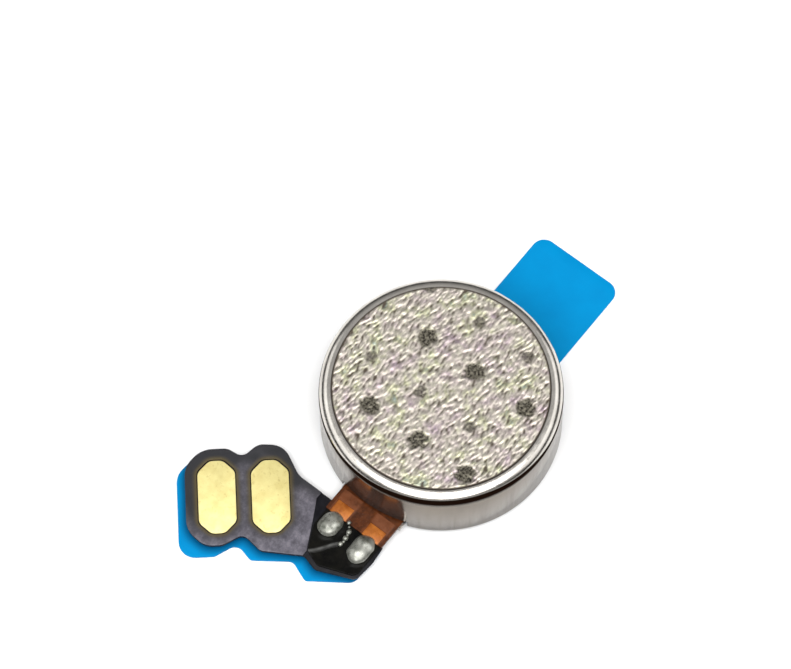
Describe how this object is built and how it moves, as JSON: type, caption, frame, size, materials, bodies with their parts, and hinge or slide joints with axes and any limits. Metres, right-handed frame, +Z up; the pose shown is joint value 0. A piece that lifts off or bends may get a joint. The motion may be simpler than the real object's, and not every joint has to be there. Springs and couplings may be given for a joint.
{
  "type": "vibration coin motor",
  "caption": "Flat round vibration motor with a textured conductive pad on top, a short solder-lapped flex tail carrying contacts, and blue release liners below.",
  "frame": {"origin": "on the motor axis, at the underside of the release liner that the motor rests on", "axes": "+Z up along the rotor axis, +X towards the liner's pull tab; the flex neck leaves the case towards -X"},
  "size_m": [0.0204, 0.012, 0.0035],
  "materials": {
    "case_steel": "satin",
    "plate_steel": "satin",
    "shaft_steel": "polished",
    "washer_film": "matte",
    "magnet": "satin",
    "amber_film": "gloss",
    "copper": "satin",
    "gold": "satin",
    "brush_metal": "polished",
    "solder": "gloss",
    "joint_glue": "gloss",
    "flex_black": "gloss",
    "cover_film": "satin",
    "stiffener": "matte",
    "tape": "matte",
    "liner": "gloss",
    "pad_glue": "matte",
    "conductive_cloth": "satin",
    "board": "satin",
    "resin": "satin",
    "coil_wire": "gloss",
    "tungsten": "matte",
    "sintered_bronze": "matte"
  },
  "bodies": {
    "motor": {"case": "case_steel", "base_plate": "plate_steel", "weld_spots": "plate_steel", "shaft": "shaft_steel", "lower_washer": "washer_film", "upper_washer": "washer_film", "ring_magnet": "magnet", "board_flex": "amber_film", "brush_left": "brush_metal", "brush_right": "brush_metal", "brush_solder": "solder", "pad_adhesive": "pad_glue", "conductive_pad": "conductive_cloth", "motor_tape": "tape", "neck_film": "amber_film", "neck_traces": "copper", "neck_cover": "amber_film"},
    "rotor": {"rotor_board": "board", "commutator": "gold", "rotor_resin": "resin", "coil_leading": "coil_wire", "coil_trailing": "coil_wire", "eccentric_weight": "tungsten", "bearing": "sintered_bronze"},
    "tail": {"lap_film": "amber_film", "lap_lands": "copper", "lap_cover": "amber_film", "lap_solder": "solder", "joint_glue": "joint_glue", "tail_flex": "flex_black", "tail_stiffener": "stiffener", "tail_cover": "cover_film", "contact_outer": "gold", "contact_inner": "gold", "tail_tape": "tape"},
    "motor_peel": {"motor_liner": "liner"},
    "tail_peel": {"tail_liner": "liner"}
  },
  "joints": [
    {"name": "rotor_spin", "type": "hinge", "parent": "motor", "child": "rotor", "pos_m": [0, 0, 0.0022], "axis": [0, 0, 1], "continuous": true},
    {"name": "tail_bend", "type": "hinge", "parent": "motor", "child": "tail", "pos_m": [-0.00525, -0.00025, 0.00046], "axis": [0, 1, 0], "range_deg": [-45, 75], "stiffness_Nm_per_rad": 0.0026, "deforming": ["neck_film", "neck_traces", "neck_cover"]},
    {"name": "motor_liner_peel", "type": "slide", "parent": "motor", "child": "motor_peel", "axis": [1, 0, 0], "range_m": [0, 0.012]},
    {"name": "tail_liner_peel", "type": "slide", "parent": "tail", "child": "tail_peel", "axis": [-1, 0, 0], "range_m": [0, 0.006]}
  ]
}
